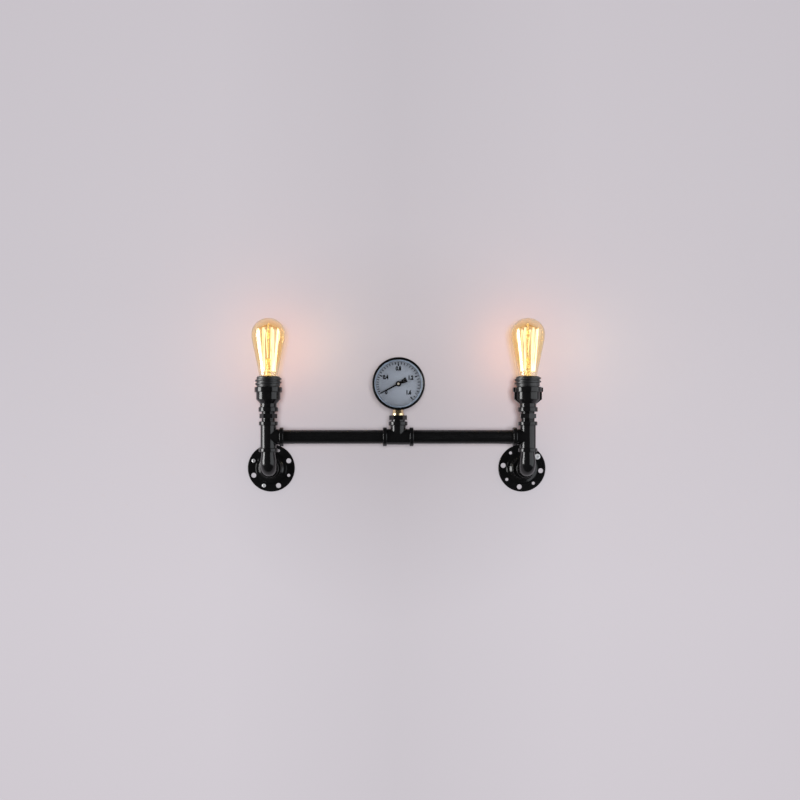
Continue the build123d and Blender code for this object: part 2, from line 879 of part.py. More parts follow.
def cage_points(x):
    """The filament's corners, alternately at the foot and the top of the cage."""
    points = []
    step = 180 / cage_hooks
    for corner in range(2 * cage_hooks):
        at_top = corner % 2 == 1
        radius = cage_top_radius if at_top else cage_bottom_radius
        height = cage_top_height if at_top else cage_bottom_height
        across, deep = around(radius, corner * step)
        points.append((x + across, riser_y + deep, cap_rim + height))
    return points


def bulb_supports(side):
    """Collars on the stem and rod, with a wire out to each corner of the filament."""
    x = riser_x[side]
    with BuildPart() as supports:
        for height, bore in ((cage_bottom_height, stem_radius), (cage_top_height, rod_radius)):
            with BuildSketch(level(x, cap_rim + height - collar_height / 2)):
                Circle(bore + collar_radius - rod_radius)
                Circle(bore + seat_gap / 2, mode=Mode.SUBTRACT)
            extrude(amount=collar_height)
        for corner in cage_points(x):
            out = Vector(corner[0] - x, corner[1] - riser_y, 0)
            bore = stem_radius if corner[2] < cap_rim + stem_height else rod_radius
            start = Vector(x, riser_y, corner[2]) + out.normalized() * (bore + 2 * seat_gap)
            end = Vector(*corner) - out.normalized() * (knot_radius + seat_gap / 2)
            rod(start, end, wire_radius)
    return supports


def bulb_filament(side):
    """One wire that runs up and down round the cage."""
    corners = cage_points(riser_x[side])
    with BuildPart() as filament:
        for start, end in zip(corners, corners[1:]):
            rod(start, end, wire_radius)
        with Locations(*corners):
            Sphere(knot_radius)
    return filament


def gauge_bushing():
    """Reduces the centre tee's branch to the thread of the gauge."""
    foot = tee_top - thread_depth
    with BuildPart() as bushing:
        with BuildSketch(level(0, foot)):
            Circle(pipe_outside / 2)
        extrude(amount=bushing_hexagon_foot - foot)
        hexagon(0, bushing_hexagon_foot, hexagon_flats, bushing_hexagon_height, 0)
        with BuildSketch(level(0, foot)):
            Circle(bushing_hole / 2)
        extrude(amount=stem_collar_foot - foot, mode=Mode.SUBTRACT)
        with BuildSketch(level(0, stem_collar_foot)):
            Circle(stem_thread / 2 + pipe_gap)
        extrude(amount=-(stem_collar_foot - foot - bushing_floor), mode=Mode.SUBTRACT)
    return bushing


def gauge_stem():
    """Thread, collar, hexagon and the block inside the case, bored through to the tube."""
    foot = stem_collar_foot - stem_thread_length
    block_foot = -(case_bore / 2) + case_wall
    tab_depth = back_plate_depth + plate_thickness
    with BuildPart() as stem:
        with BuildSketch(level(0, foot)):
            Circle(stem_thread / 2)
        extrude(amount=stem_thread_length)
        with BuildSketch(level(0, stem_collar_foot)):
            Circle(stem_collar / 2)
        extrude(amount=stem_collar_height)
        with BuildSketch(level(0, stem_hexagon_foot)):
            RegularPolygon(stem_flats / sqrt(3), 6, rotation=0)
        extrude(amount=stem_hexagon_height)
        with BuildSketch(level(0, stem_hexagon_foot + stem_hexagon_height)):
            Circle(stem_neck / 2)
        extrude(amount=gauge_z + block_foot - stem_hexagon_foot - stem_hexagon_height)
        with BuildSketch(facing(case_wall)):
            with Locations((0, (block_foot + tab_foot) / 2)):
                Rectangle(block_width, tab_foot - block_foot)
        extrude(amount=front_plate_depth - case_wall)
        with BuildSketch(facing(tab_depth)):
            with Locations((0, (block_top + tab_foot) / 2)):
                Rectangle(block_width, block_top - tab_foot)
        extrude(amount=plate_spacing)
        with BuildSketch(tube_section(tube_root_angle)):
            SlotOverall(tube_width + 2 * seat_gap, tube_height + 2 * seat_gap)
        revolve(axis=gauge_axis.reverse(), revolution_arc=stem_pocket_angle, mode=Mode.SUBTRACT)
        with BuildSketch(level(0, foot)):
            Circle(stem_bore / 2)
        extrude(amount=gauge_z + tab_foot - foot, mode=Mode.SUBTRACT)
        with BuildSketch(Plane((0, riser_y, gauge_z + tube_root[1]), z_dir=(-1, 0, 0))):
            Circle(stem_bore / 2)
        extrude(amount=-tube_root[0], mode=Mode.SUBTRACT)
    return stem


def gauge_case():
    stem_hole = stem_neck / 2 + case_hole_gap
    with BuildPart() as case:
        with BuildSketch(facing(0)):
            Circle(case_outside / 2)
        extrude(amount=case_depth)
        fillet(case.edges().sort_by(Axis.Y)[-1], case_edge_round)
        with BuildSketch(facing(case_wall)):
            Circle(case_bore / 2)
        extrude(amount=case_depth - case_wall, mode=Mode.SUBTRACT)
        with BuildSketch(level(0, case_bottom)):
            Circle(stem_hole)
        extrude(amount=stem_hole, mode=Mode.SUBTRACT)
    return case


def gauge_bezel():
    with BuildPart() as bezel:
        with BuildSketch(facing(lip_depth - bezel_skirt)):
            Circle(bezel_outside / 2)
            Circle(case_outside / 2 + bezel_gap, mode=Mode.SUBTRACT)
        extrude(amount=bezel_skirt)
        with BuildSketch(facing(lip_depth)):
            Circle(bezel_outside / 2)
            Circle(bezel_window / 2, mode=Mode.SUBTRACT)
        extrude(amount=bezel_lip)
        chamfer(rims(bezel, bezel_window / 2).sort_by(Axis.Y)[0], bezel_bevel)
        fillet(rims(bezel, bezel_outside / 2).sort_by(Axis.Y)[0], bezel_round)
    return bezel


def gauge_ring(depth, thickness, outside, bore):
    """A flat disc or ring in the gauge, facing the viewer."""
    with BuildPart() as ring:
        with BuildSketch(facing(depth)):
            Circle(outside / 2)
            if bore:
                Circle(bore / 2, mode=Mode.SUBTRACT)
        extrude(amount=thickness)
    return ring


def plate(depth):
    """A movement plate, with holes for the two arbors."""
    half = block_width / 2
    with BuildPart() as flat:
        with BuildSketch(facing(depth)) as outline:
            with BuildLine():
                Polyline(
                    (-half, tab_foot), (half, tab_foot), (half, block_top),
                    (plate_half_width, plate_shoulder), (plate_half_width, plate_top),
                    (-plate_half_width, plate_top), (-plate_half_width, plate_shoulder),
                    (-half, block_top), close=True,
                )
            make_face()
            fillet(outline.vertices().group_by(Axis.Y)[-1], plate_corner_radius)
            with Locations((0, 0), (0, sector_pivot)):
                Circle(journal_radius + pin_gap, mode=Mode.SUBTRACT)
        extrude(amount=plate_thickness)
    return flat


def movement_pillars():
    """Pillars between the plates, and posts from the front plate to the dial."""
    dial_side = front_plate_depth + plate_thickness
    with BuildPart() as pillars:
        with BuildSketch(facing(back_plate_depth + plate_thickness)):
            with Locations(*pillar_places):
                Circle(pillar_radius)
        extrude(amount=plate_spacing)
        with BuildSketch(facing(dial_side)):
            with Locations(*post_places):
                Circle(post_radius)
        extrude(amount=dial_depth - dial_side)
    return pillars


def tooth_edge(teeth, turn_sign):
    """One flank of an involute tooth as (radius, angle from the tooth's middle) pairs."""
    pitch = tooth_module * teeth / 2
    base = pitch * cos(radians(pressure_angle))
    root = pitch - tooth_dedendum
    tip = pitch + tooth_addendum
    half = pi / (2 * teeth) - tooth_backlash / (4 * pitch)
    involute = tan(radians(pressure_angle)) - radians(pressure_angle)
    low = max(base, root)
    edge = []
    if root < base:
        edge.append((root, turn_sign * (half + involute)))
    for step in range(flank_steps + 1):
        radius = low + (tip - low) * step / flank_steps
        flank = acos(base / radius)
        edge.append((radius, turn_sign * (half + involute - (tan(flank) - flank))))
    return edge


def tooth_row(teeth, before, after, middle):
    """Corners of a row of teeth, counter-clockwise, round the one centred on the angle middle."""
    corners = []
    for tooth in range(-before, after + 1):
        centre = radians(middle) + 2 * pi * tooth / teeth
        for radius, offset in tooth_edge(teeth, -1):
            corners.append((radius * cos(centre + offset), radius * sin(centre + offset)))
        for radius, offset in reversed(tooth_edge(teeth, 1)):
            corners.append((radius * cos(centre + offset), radius * sin(centre + offset)))
    return corners


def pointer_arbor():
    """Spindle with its pinion, running in both plates and carrying the pointer."""
    inner_start = back_plate_depth + plate_thickness + arbor_shoulder_gap
    inner_end = front_plate_depth - arbor_shoulder_gap
    start = back_plate_depth - arbor_shoulder_gap
    end = bush_depth + bush_height
    with BuildPart() as arbor:
        with BuildSketch(facing(start)):
            Circle(journal_radius)
        extrude(amount=end - start)
        with BuildSketch(facing(inner_start)):
            Circle(arbor_radius)
        extrude(amount=inner_end - inner_start)
        with BuildSketch(facing(pinion_depth)):
            with BuildLine():
                Polyline(*tooth_row(pinion_teeth, 0, pinion_teeth - 1, -up_angle), close=True)
            make_face()
        extrude(amount=pinion_width)
    return arbor


def sector_gear():
    """Toothed sector with the tail that the link pulls, and the tail's pin."""
    half_tooth = 180 / sector_full_teeth
    tooth_pitch = 2 * half_tooth
    middle = up_angle + half_tooth
    rim_inside = sector_radius - sector_rim
    first_angle = middle - (sector_right_count + 1) * tooth_pitch
    last_angle = middle + (sector_left_count + 1) * tooth_pitch
    arm_angle = (first_angle + last_angle) / 2
    root = sector_radius - tooth_dedendum
    with BuildPart() as sector:
        with BuildSketch(facing(sector_depth, z=gauge_z + sector_pivot)):
            with BuildLine():
                row = tooth_row(sector_full_teeth, sector_right_count, sector_left_count, middle)
                teeth = Polyline(around(root, first_angle), *row, around(root, last_angle))
                RadiusArc(around(rim_inside, last_angle), around(rim_inside, first_angle), rim_inside)
                Line(teeth @ 0, around(rim_inside, first_angle))
                Line(teeth @ 1, around(rim_inside, last_angle))
            make_face()
            with BuildLine():
                Line((0, 0), around(rim_inside + sector_rim / 2, arm_angle))
            trace(line_width=sector_arm_width)
            with BuildLine():
                Line((0, 0), (tail_length, 0))
            trace(line_width=sector_arm_width)
            Circle(sector_hub_radius)
            with Locations((tail_length, 0)):
                Circle(eye_radius)
            Circle(arbor_radius + seat_gap / 4, mode=Mode.SUBTRACT)
        extrude(amount=sector_thickness)
        with BuildSketch(facing(sector_depth, tail_length, gauge_z + sector_pivot)):
            Circle(pin_radius)
        extrude(amount=link_depth + link_thickness - sector_depth)
    return sector


def sector_arbor():
    inner_start = back_plate_depth + plate_thickness + arbor_shoulder_gap
    inner_end = front_plate_depth - arbor_shoulder_gap
    start = back_plate_depth - arbor_shoulder_gap
    end = front_plate_depth + plate_thickness + arbor_shoulder_gap
    with BuildPart() as arbor:
        with BuildSketch(facing(start, z=gauge_z + sector_pivot)):
            Circle(journal_radius)
        extrude(amount=end - start)
        with BuildSketch(facing(inner_start, z=gauge_z + sector_pivot)):
            Circle(arbor_radius)
        extrude(amount=inner_end - inner_start)
    return arbor


def sector_link():
    """Strip from the sector's tail to the tip of the tube, with an eye at each end."""
    tail = (tail_length, sector_pivot)
    tip = around(tube_radius, tube_tip_angle - lug_eye_angle)
    with BuildPart() as link:
        with BuildSketch(facing(link_depth)):
            with BuildLine():
                Line(tail, tip)
            trace(line_width=link_width)
            with Locations(tail, tip):
                Circle(eye_radius)
                Circle(pin_radius + pin_gap, mode=Mode.SUBTRACT)
        extrude(amount=link_thickness)
    return link


def tube_section(angle):
    """The plane square to the curved tube at an angle, with its long side along Y."""
    across, height = around(tube_radius, angle)
    middle = case_back_y - tube_depth - tube_width / 2
    heading = Vector(-sin(radians(angle)), 0, cos(radians(angle)))
    return Plane((across, middle, gauge_z + height), x_dir=(0, 1, 0), z_dir=heading)


def bourdon_tube():
    """Flattened tube that curls round the movement from the block to its plugged tip."""
    arc = tube_root_angle - tube_tip_angle
    with BuildPart() as tube:
        with BuildSketch(tube_section(tube_tip_angle)):
            SlotOverall(tube_width, tube_height)
            SlotOverall(tube_width - 2 * tube_wall, tube_height - 2 * tube_wall, mode=Mode.SUBTRACT)
        revolve(axis=gauge_axis, revolution_arc=arc)
    return tube


def tube_tip():
    """Plug across the tube's end, with a lug for the link."""
    half = tube_height / 2 - tube_wall
    lug_start = tube_tip_angle - plug_angle / 4
    with BuildPart() as tip:
        with BuildSketch(tube_section(tube_tip_angle)):
            SlotOverall(tube_width, tube_height)
        revolve(axis=gauge_axis.reverse(), revolution_arc=plug_angle)
        with BuildSketch(facing(lug_depth)):
            with BuildLine():
                outer = CenterArc((0, 0), tube_radius + half, lug_start, -lug_angle)
                inner = CenterArc((0, 0), tube_radius - half, lug_start, -lug_angle)
                Line(outer @ 0, inner @ 0)
                Line(outer @ 1, inner @ 1)
            make_face()
            with Locations(around(tube_radius, tube_tip_angle - lug_eye_angle)):
                Circle(pin_radius + pin_gap, mode=Mode.SUBTRACT)
        extrude(amount=lug_thickness)
    return tip


def hairspring():
    """Flat spiral of half turns round the arbor, its outer end in a stud on the front plate."""
    growth = hairspring_pitch / 2
    with BuildPart() as spring:
        with BuildSketch(facing(hairspring_depth)):
            with BuildLine():
                ends = []
                for edge in (0, hairspring_strip):
                    for turn in range(hairspring_half_turns):
                        radius = hairspring_bore + edge + turn * growth
                        middle = growth * (turn % 2)
                        arc = CenterArc((middle, 0), radius, 180 * (turn % 2), 180)
                    ends.append(arc @ 1)
                Line((hairspring_bore, 0), (hairspring_bore + hairspring_strip, 0))
                Line(*ends)
            make_face()
        extrude(amount=hairspring_width)
        stud = (ends[0] + ends[1]) / 2
        with BuildSketch(facing(hairspring_depth, stud.X, gauge_z + stud.Y)):
            Circle(hairspring_stud_radius)
        extrude(amount=front_plate_depth - hairspring_depth)
    return spring


def gauge_pointer():
    """Black blade with a flared tail."""
    blade = pointer_blade_width / 2
    shoulder = pointer_length - pointer_point
    ahead = around(1, pointer_angle)
    middle = (0, case_back_y - pointer_depth, gauge_z)
    with BuildPart() as pointer:
        with BuildSketch(Plane(middle, x_dir=(ahead[0], 0, ahead[1]), z_dir=(0, -1, 0))):
            with BuildLine():
                Polyline(
                    (pointer_length, 0), (shoulder, pointer_tip_width / 2), (0, blade),
                    (-pointer_tail_length, pointer_tail_width / 2),
                    (-pointer_tail_length, -pointer_tail_width / 2), (0, -blade),
                    (shoulder, -pointer_tip_width / 2), close=True,
                )
            make_face()
            Circle(pointer_hub_radius)
            Circle(bush_radius + seat_gap / 4, mode=Mode.SUBTRACT)
        extrude(amount=pointer_thickness)
    return pointer


def pointer_bush():
    return gauge_ring(bush_depth, bush_height, 2 * bush_radius, 2 * (journal_radius + seat_gap / 4))


os.makedirs("parts", exist_ok=True)

for side in ("left", "right"):
    centre = Vector(riser_x[side], riser_y, crossbar_height)
    save(wall_flange(side), f"{side}_wall_flange")
    save(wall_nipple(side), f"{side}_wall_nipple")
    save(street_elbow(side), f"{side}_street_elbow")
    save(tee(centre, up, inward[side]), f"{side}_riser_tee")
    save(crossbar(side), f"{side}_crossbar")
    save(hex_nipple(side), f"{side}_hex_nipple")
    save(bell_reducer(side), f"{side}_bell_reducer")
    save(lampholder_shell(side), f"{side}_lampholder_shell")
    save(lampholder_insert(side), f"{side}_lampholder_insert")
    save(screw_shell(side), f"{side}_screw_shell")
    save(centre_contact(side), f"{side}_centre_contact")
    save(terminals(side), f"{side}_terminals")
    save(bulb_glass(side), f"{side}_bulb_glass")
    save(bulb_cap(side), f"{side}_bulb_cap")
    save(bulb_cap_insulator(side), f"{side}_bulb_cap_insulator")
    save(bulb_contact(side), f"{side}_bulb_contact")
    save(bulb_stem(side), f"{side}_bulb_stem")
    save(bulb_supports(side), f"{side}_bulb_supports")
    save(bulb_filament(side), f"{side}_bulb_filament")

save(wall_screws(), "wall_screws")
save(lamp_leads(), "lamp_leads")
save(tee(Vector(0, riser_y, crossbar_height), right, up), "centre_tee")
save(gauge_bushing(), "gauge_bushing")
save(gauge_stem(), "gauge_stem")
save(gauge_case(), "gauge_case")
save(gauge_bezel(), "gauge_bezel")
save(
    gauge_ring(gasket_depth, gasket_thickness, window_outside, window_outside - 2 * gasket_width),
    "gauge_gasket",
)
save(gauge_ring(window_depth, glass_thickness, window_outside, 0), "gauge_glass")
save(
    gauge_ring(dial_depth, dial_thickness, case_bore - 2 * dial_edge_gap, dial_hole),
    "gauge_dial",
)
save(plate(back_plate_depth), "movement_back_plate")
save(plate(front_plate_depth), "movement_front_plate")
save(movement_pillars(), "movement_pillars")
save(pointer_arbor(), "pointer_arbor")
save(pointer_bush(), "pointer_bush")
save(gauge_pointer(), "gauge_pointer")
save(sector_gear(), "sector_gear")
save(sector_arbor(), "sector_arbor")
save(sector_link(), "sector_link")
save(bourdon_tube(), "bourdon_tube")
save(tube_tip(), "tube_tip")
save(hairspring(), "hairspring")
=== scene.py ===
import json
from math import cos, degrees, radians, sin, tau

import bmesh
import bpy
from mathutils import Matrix, Vector, noise


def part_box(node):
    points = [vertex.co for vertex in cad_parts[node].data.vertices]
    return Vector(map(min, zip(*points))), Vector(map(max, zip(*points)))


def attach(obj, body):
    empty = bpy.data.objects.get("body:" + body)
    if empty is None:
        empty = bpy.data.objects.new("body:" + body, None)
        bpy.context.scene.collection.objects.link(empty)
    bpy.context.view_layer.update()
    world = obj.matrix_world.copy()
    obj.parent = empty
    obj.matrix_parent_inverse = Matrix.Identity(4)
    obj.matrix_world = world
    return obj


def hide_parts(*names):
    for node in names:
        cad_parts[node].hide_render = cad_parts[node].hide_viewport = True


# Looks of the industrial pipe wall light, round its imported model. Metres. X runs right, Y into
# the wall and Z up, and the wall is the plane y = 0.
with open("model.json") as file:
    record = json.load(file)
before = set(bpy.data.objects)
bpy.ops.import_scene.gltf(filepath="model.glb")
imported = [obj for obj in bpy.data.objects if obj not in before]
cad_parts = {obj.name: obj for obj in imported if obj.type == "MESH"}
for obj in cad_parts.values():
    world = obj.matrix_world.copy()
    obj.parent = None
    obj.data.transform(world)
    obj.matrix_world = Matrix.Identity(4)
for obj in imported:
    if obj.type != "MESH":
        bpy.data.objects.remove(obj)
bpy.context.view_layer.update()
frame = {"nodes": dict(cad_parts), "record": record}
nodes = frame["nodes"]

mm = 0.001
sides = ("left", "right")
straight_pipes = ("wall_nipple", "crossbar")  # how the names of drawn pipes end

# Camera, in the photograph's 800 x 800 pixels
picture_side = 800
focal_pixels = 1122
axis_pixel = (354, 448)
camera_place = (-0.085, -2.242, 0.040)
sensor = 36.0

# Wall, with painted shade and painted light in its colour
wall_side = 14.0
wall_gap = 0.3 * mm  # behind the flanges
wall_color = (0.44, 0.415, 0.445)
# The wall's colour holds a painted shadow round the object and paler painted light low at the sides
painted_wall_shading = (0.79, 1.02)  # of its colour, painted shade and light: darkest behind the object where its shadow falls, palest low at either side
painted_shadow_centre = (0, 0, 0.08)
painted_shadow_reach = (0.1, 0.4)  # distances from the centre
painted_light_side = (0.0, 0.35)  # distances from the middle to either side
painted_light_fall = (0.35, -0.25)  # heights, from the upper down
painted_shadow_weight = 0.4  # how much each of the three adds to the painted light
painted_side_weight = 0.3
painted_fall_weight = 0.3

# Room, with its strength as light, in reflections and where it is seen
room_color = (0.82, 0.80, 0.82)
room_fill = 0.5
room_gloss = 0.05
room_seen = 1.0

# Lamps, as place, width, height, power and colour
lamp_target = (0, -0.08, 0.12)
panels = {
    "left_panel": ((-2.15, -0.62, 0.15), 1.0, 1.8, 76, (1.0, 1.0, 1.0)),
    "right_panel": ((1.3, -0.88, 0.1), 1.8, 1.8, 22, (0.93, 0.96, 1.0)),
    "wall_panel": ((-0.085, -6.0, 0.0), 1.0, 1.0, 370, (1.0, 1.0, 1.0)),
}
glow_color = (1.0, 0.26, 0.063)
glow_power = 0.3
glow_radius = 20 * mm

# Gauge dial, from its centre. Angles run counter-clockwise from the right.
major_angles = (208.0, 155.0, 90.0, 22.5, -47.0)
divisions = 8  # from one long mark to the next
dial_ink = 0.06 * mm
major_rise = 0.02 * mm  # of a long mark over the short one that it meets
tick_reach = (37.4 * mm, 42.0 * mm)
tick_width = 1.5 * mm
major_reach = (34.0 * mm, 38.2 * mm)
major_width = 2.4 * mm
numeral_height = 7.4 * mm
numeral_share = 0.7  # of the type's size, taken by a digit's height
numeral_squeeze = 0.8
numeral_boldness = 0.75 * mm
numerals = {
    "0": (-23.2 * mm, -16.2 * mm),
    "0.4": (-24.4 * mm, 12.6 * mm),
    "0.8": (0.2 * mm, 29.2 * mm),
    "1.2": (23.6 * mm, 11.6 * mm),
    "1.6": (19.6 * mm, -16.8 * mm),
}

# Black washer round the bush of the pointer
washer_bore = 2.2 * mm
washer_radius = 5.4 * mm
washer_rise = 0.2 * mm  # proud of the bush
washer_steps = 32

# Thread on the bare necks, with half widths as shares of its pitch
thread_pitch = 1.814 * mm
thread_root = 12.75 * mm
thread_crest = 13.3 * mm
thread_sink = 0.2 * mm  # of its foot into the neck
thread_half_foot = 0.46
thread_half_crest = 0.06
thread_steps = 48  # in a turn
thread_fade = thread_steps / 6  # steps in which it rises at either end
corner_share = 0.98  # of a hexagon's greatest radius, beyond which only its corners reach

# Tint of the bulb glass by height: pale at the neck and crown, deepest on the flanks
amber_shades = (
    (0.188, (1.0, 0.985, 0.97)),
    (0.21, (1.0, 0.96, 0.8)),
    (0.25, (1.0, 0.96, 0.8)),
    (0.282, (1.0, 0.965, 0.9)),
)

# Glass mount inside a bulb, with heights above the rim of its cap
stem_radius = 5.4 * mm
stem_waist = 1.1 * stem_radius
stem_shoulder = 0.7 * stem_radius
stem_top = 40.0 * mm
flare_rise = 1.6 * mm
flare_neck = 1.5 * stem_radius
rod_radius = 1.1 * mm
bead_radius = 3.6 * mm
bead_shoulder = 0.8 * bead_radius
bead_foot = 78.0 * mm
bead_top = 98.0 * mm
crown = 106.0 * mm  # the button at the tip of the rod
crown_radius = 2.2 * mm
mount_steps = 40  # round the axis
mount_sharp_angle = 50.0
weld_gap = 0.01 * mm

# Filament cage, with each ring of hooks as radius and height
cage_top = (20.5 * mm, 98.0 * mm)
cage_foot = (13.5 * mm, 15.0 * mm)
cage_hooks = 8  # at the top, and one more at the foot
cage_opening = 270  # the angle at which the cage is open, towards the front
hook_radius = 1.1 * mm
hook_steps = 8
support_radius = 0.4 * mm
wire_radius = 0.6 * mm
hairpin = 1.1 * mm  # half the width and the whole rise of the wire's loop at a hook
strand_bow = 0.9 * mm
strand_shares = (0.2, 0.4, 0.6, 0.8)  # points on a strand that bow out or in
bow_noise = (3.7, 4.0, 1.5)  # step per strand, way along a strand, and third place in the noise
filament_color = (1.0, 0.94, 0.72)
filament_strength = 1.55


def middle(node):
    """The middle of a node's box."""
    low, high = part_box(node)
    return (low + high) / 2


def polar(radius, angle):
    return Vector((radius * cos(radians(angle)), radius * sin(radians(angle))))


class Look:
    """A material with one principled shader, and short ways to drive it."""

    def __init__(self, name, color, roughness, **values):
        self.material = bpy.data.materials.new(name)
        self.material.use_nodes = True
        self.tree = self.material.node_tree
        self.shader = self.tree.nodes["Principled BSDF"]
        self.output = self.tree.nodes["Material Output"]
        self.place = self.node("ShaderNodeTexCoord").outputs["Object"]
        self.color = color
        self.shader.inputs["Base Color"].default_value = (*color, 1)
        self.shader.inputs["Roughness"].default_value = roughness
        for key, value in values.items():
            self.shader.inputs[key.replace("_", " ")].default_value = value

    def node(self, kind, **inputs):
        """A new node with its inputs set. An underscore in a name stands for a space."""
        made = self.tree.nodes.new(kind)
        for key, value in inputs.items():
            made.inputs[key.replace("_", " ")].default_value = value
        return made

    def link(self, out, into):
        self.tree.links.new(out, into)

    def math(self, operation, *values):
        """A value worked out from others, each of them a socket or a number."""
        made = self.node("ShaderNodeMath")
        made.operation = operation
        for value, into in zip(values, made.inputs):
            if isinstance(value, float):
                into.default_value = value
            else:
                self.link(value, into)
        return made.outputs["Value"]

    def noise(self, scale, detail=4.0, stretch=None):
        """Noise with so many features per metre, stretched along an axis if asked."""
        made = self.node("ShaderNodeTexNoise", Scale=scale, Detail=detail)
        place = self.place
        if stretch:
            mapping = self.node("ShaderNodeMapping", Scale=stretch)
            self.link(place, mapping.inputs["Vector"])
            place = mapping.outputs["Vector"]
        self.link(place, made.inputs["Vector"])
        return made.outputs["Fac"]

    def spread(self, source, low, high, start=0.3, end=0.7):
        """Maps a value between start and end to one between low and high."""
        made = self.node("ShaderNodeMapRange", From_Min=start, From_Max=end, To_Min=low, To_Max=high)
        self.link(source, made.inputs["Value"])
        return made.outputs["Result"]

    def vary_color(self, source, dark, light):
        """Mixes two shades of the base colour by a value, and returns the mix."""
        mix = self.node("ShaderNodeMix")
        mix.data_type = "RGBA"
        shades = [tuple(min(1.0, part * shade) for part in self.color) for shade in (dark, light)]
        mix.inputs["A"].default_value = (*shades[0], 1)
        mix.inputs["B"].default_value = (*shades[1], 1)
        self.link(source, mix.inputs["Factor"])
        self.link(mix.outputs["Result"], self.shader.inputs["Base Color"])
        return mix.outputs["Result"]

    def shade_by_height(self, *shades):
        """Runs the base colour through (height, colour) shades, from the lowest up."""
        apart = self.node("ShaderNodeSeparateXYZ")
        self.link(self.place, apart.inputs["Vector"])
        low, high = shades[0][0], shades[-1][0]
        ramp = self.node("ShaderNodeValToRGB")
        stops = ramp.color_ramp.elements
        stops[0].color = (*shades[0][1], 1)
        stops[1].color = (*shades[-1][1], 1)
        for height, color in shades[1:-1]:
            stops.new((height - low) / (high - low)).color = (*color, 1)
        self.link(self.spread(apart.outputs["Z"], 0.0, 1.0, low, high), ramp.inputs["Fac"])
        self.link(ramp.outputs["Color"], self.shader.inputs["Base Color"])

    def vary_roughness(self, source, low, high):
        self.link(self.spread(source, low, high), self.shader.inputs["Roughness"])

    def bump(self, *layers):
        """Raises the surface by (source, height) layers."""
        under = None
        for source, height in layers:
            made = self.node("ShaderNodeBump", Strength=1.0, Distance=height)
            self.link(source, made.inputs["Height"])
            if under:
                self.link(under, made.inputs["Normal"])
            under = made.outputs["Normal"]
        self.link(under, self.shader.inputs["Normal"])

    def clear_where(self, factor, tint=(1.0, 1.0, 1.0)):
        """The surface lets rays straight through, tinted, where the factor is 1."""
        clear = self.node("ShaderNodeBsdfTransparent", Color=(*tint, 1))
        mix = self.node("ShaderNodeMixShader")
        self.link(factor, mix.inputs["Fac"])
        self.link(self.shader.outputs["BSDF"], mix.inputs[1])
        self.link(clear.outputs["BSDF"], mix.inputs[2])
        self.link(mix.outputs["Shader"], self.output.inputs["Surface"])

    def let_lamps_through(self, tint):
        """Shadow rays pass, tinted, so that lamps shine through glass."""
        self.clear_where(self.node("ShaderNodeLightPath").outputs["Is Shadow Ray"], tint)


def cast_paint():
    """Black semi-gloss paint over the pebbled skin of a casting."""
    look = Look("black_paint_cast", (0.004, 0.004, 0.0042), 0.3, IOR=1.38)
    look.vary_color(look.noise(160), dark=0.7, light=1.5)
    look.vary_roughness(look.noise(420), low=0.1, high=0.2)
    look.bump((look.noise(90, detail=2.0), 0.12 * mm), (look.noise(900, detail=3.0), 0.025 * mm))
    return look.material


def pipe_paint():
    """The same paint over drawn pipe, with faint lengthwise marks."""
    look = Look("black_paint_pipe", (0.0035, 0.0035, 0.0037), 0.3, IOR=1.38)
    look.vary_color(look.noise(200), dark=0.75, light=1.4)
    look.vary_roughness(look.noise(300, stretch=(0.15, 1, 1)), low=0.2, high=0.34)
    marks = look.noise(500, detail=3.0, stretch=(0.12, 1, 1))
    look.bump((marks, 0.02 * mm), (look.noise(1300, detail=2.0), 0.015 * mm))
    return look.material


def phenolic():
    """Satin black moulding with a slight orange peel."""
    look = Look("black_phenolic", (0.007, 0.007, 0.0075), 0.4)
    look.vary_color(look.noise(240), dark=0.8, light=1.3)
    look.vary_roughness(look.noise(700), low=0.34, high=0.5)
    look.bump((look.noise(420, detail=2.0), 0.03 * mm))
    return look.material


def enamel():
    """Smooth black enamel of the gauge's case and bezel."""
    look = Look("gauge_black", (0.0025, 0.0025, 0.0027), 0.22, IOR=1.38)
    look.vary_roughness(look.noise(260), low=0.18, high=0.3)
    look.bump((look.noise(380, detail=2.0), 0.008 * mm))
    return look.material


def metal(name, color, smoothest, roughest, turned=0.0, metallic=1.0):
    """Metal with cloudy tarnish, fine scratches and, where turned, tool marks of that height."""
    look = Look(name, color, smoothest, Metallic=metallic)
    look.vary_color(look.noise(180), dark=0.72, light=1.12)
    look.vary_roughness(look.noise(520), smoothest, roughest)
    layers = [(look.noise(1500, detail=3.0), 0.006 * mm)]
    if turned:
        layers.append((look.noise(1800, detail=1.0, stretch=(0.02, 0.02, 1)), turned))
    look.bump(*layers)
    return look.material


def porcelain():
    """Glazed white ceramic of the lampholders' inserts."""
    look = Look("ceramic", (0.82, 0.8, 0.75), 0.18, Coat_Weight=0.5, Coat_Roughness=0.06)
    look.vary_color(look.noise(260), dark=0.86, light=1.04)
    look.bump((look.noise(200, detail=2.0), 0.02 * mm))
    return look.material


def black_glass():
    """Glass button round a cap's contact."""
    look = Look("cap_insulator", (0.008, 0.008, 0.01), 0.08, Coat_Weight=0.3)
    look.vary_roughness(look.noise(400), low=0.05, high=0.16)
    return look.material


def amber_glass():
    """Thin amber envelope: the tint lies in the glass, so its edges are the deepest."""
    look = Look("amber_glass", (1.0, 0.965, 0.9), 0.0, Transmission_Weight=1.0, IOR=1.46)
    look.shade_by_height(*amber_shades)
    look.bump((look.noise(26, detail=1.0), 0.1 * mm))
    depth = look.node("ShaderNodeVolumeAbsorption", Color=(0.97, 0.75, 0.07, 1), Density=215.0)
    look.link(depth.outputs["Volume"], look.output.inputs["Volume"])
    look.let_lamps_through((1.0, 0.965, 0.9))
    return look.material


